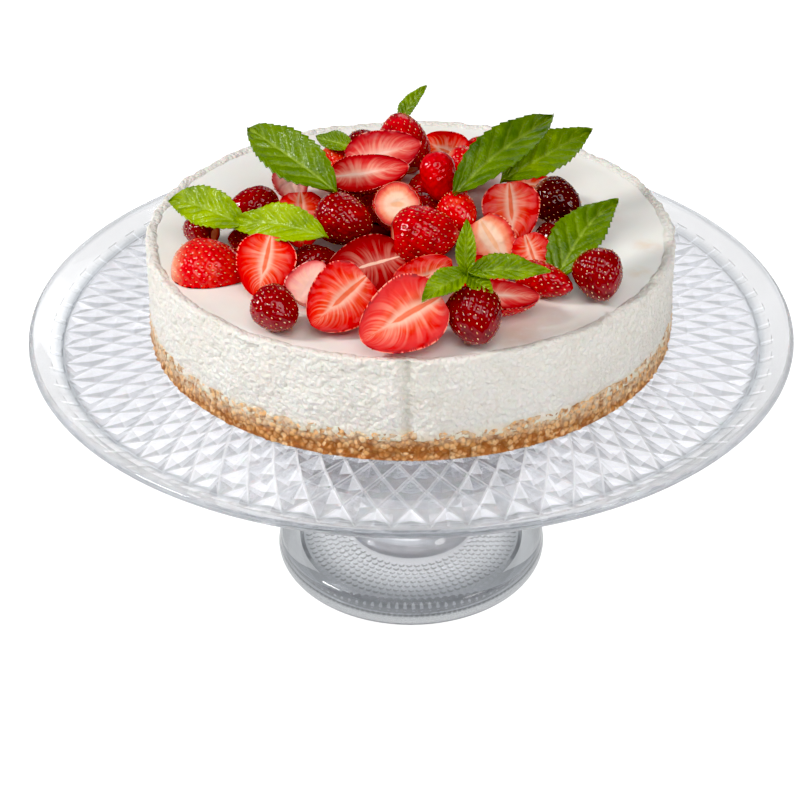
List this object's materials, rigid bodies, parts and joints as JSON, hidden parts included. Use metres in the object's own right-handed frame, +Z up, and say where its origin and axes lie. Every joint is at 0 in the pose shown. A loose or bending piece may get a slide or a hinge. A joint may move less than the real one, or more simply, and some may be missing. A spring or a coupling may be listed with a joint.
{
  "type": "footed cake stand",
  "caption": "Footed pressed-glass cake stand with a round cheesecake, cut and whole strawberries and mint leaves on top; the cake lifts off the plate.",
  "frame": {"origin": "centre of the foot, on the table that it stands on", "axes": "+Z up the stem through the plate and the cake; -Y is the side that faces the viewer"},
  "size_m": [0.3699, 0.37, 0.2425],
  "materials": {
    "glass": "clear pressed glass, fire polished",
    "crumb": "baked crumb, coarse and matt",
    "cheese": "set cream cheese, fine pores",
    "cream": "smooth satin cream",
    "berry_skin": "glossy strawberry skin with seeds",
    "berry_cut": "moist cut strawberry flesh",
    "mint": "waxy mint leaf"
  },
  "bodies": {
    "stand": {"glass_plate": "glass", "glass_foot": "glass"},
    "cake": {"crumb_base": "crumb", "cheese_filling": "cheese", "cream_top": "cream", "end_cut_berry_01": "berry_cut", "half_berry_01": "berry_cut", "half_berry_02": "berry_cut", "half_berry_03": "berry_cut", "half_berry_04": "berry_cut", "half_berry_05": "berry_cut", "half_berry_06": "berry_cut", "half_berry_07": "berry_cut", "half_berry_08": "berry_cut", "half_berry_09": "berry_cut", "half_berry_10": "berry_cut", "half_berry_11": "berry_cut", "half_berry_12": "berry_cut", "half_berry_13": "berry_cut", "half_berry_14": "berry_cut", "half_berry_15": "berry_cut", "half_berry_16": "berry_cut", "half_berry_17": "berry_cut", "half_berry_18": "berry_cut", "mint_leaf_01": "mint", "mint_leaf_02": "mint", "mint_leaf_03": "mint", "mint_leaf_04": "mint", "mint_leaf_05": "mint", "mint_leaf_06": "mint", "mint_leaf_07": "mint", "mint_leaf_08": "mint", "mint_sprig": "mint", "whole_berry_01": "berry_skin", "whole_berry_02": "berry_skin", "whole_berry_03": "berry_skin", "whole_berry_04": "berry_skin", "whole_berry_05": "berry_skin", "whole_berry_06": "berry_skin", "whole_berry_07": "berry_skin", "whole_berry_08": "berry_skin", "whole_berry_09": "berry_skin", "whole_berry_10": "berry_skin", "whole_berry_11": "berry_skin", "whole_berry_12": "berry_skin", "whole_berry_13": "berry_skin", "whole_berry_14": "berry_skin", "whole_berry_15": "berry_skin", "whole_berry_16": "berry_skin", "whole_berry_17": "berry_skin", "whole_berry_18": "berry_skin", "whole_berry_19": "berry_skin", "whole_berry_20": "berry_skin", "whole_berry_21": "berry_skin", "whole_berry_22": "berry_skin", "whole_berry_23": "berry_skin", "whole_berry_24": "berry_skin", "whole_berry_25": "berry_skin"}
  },
  "joints": [
    {"name": "cake_lift", "type": "slide", "parent": "stand", "child": "cake", "axis": [0, 0, 1], "range_m": [0, 0.15]}
  ]
}
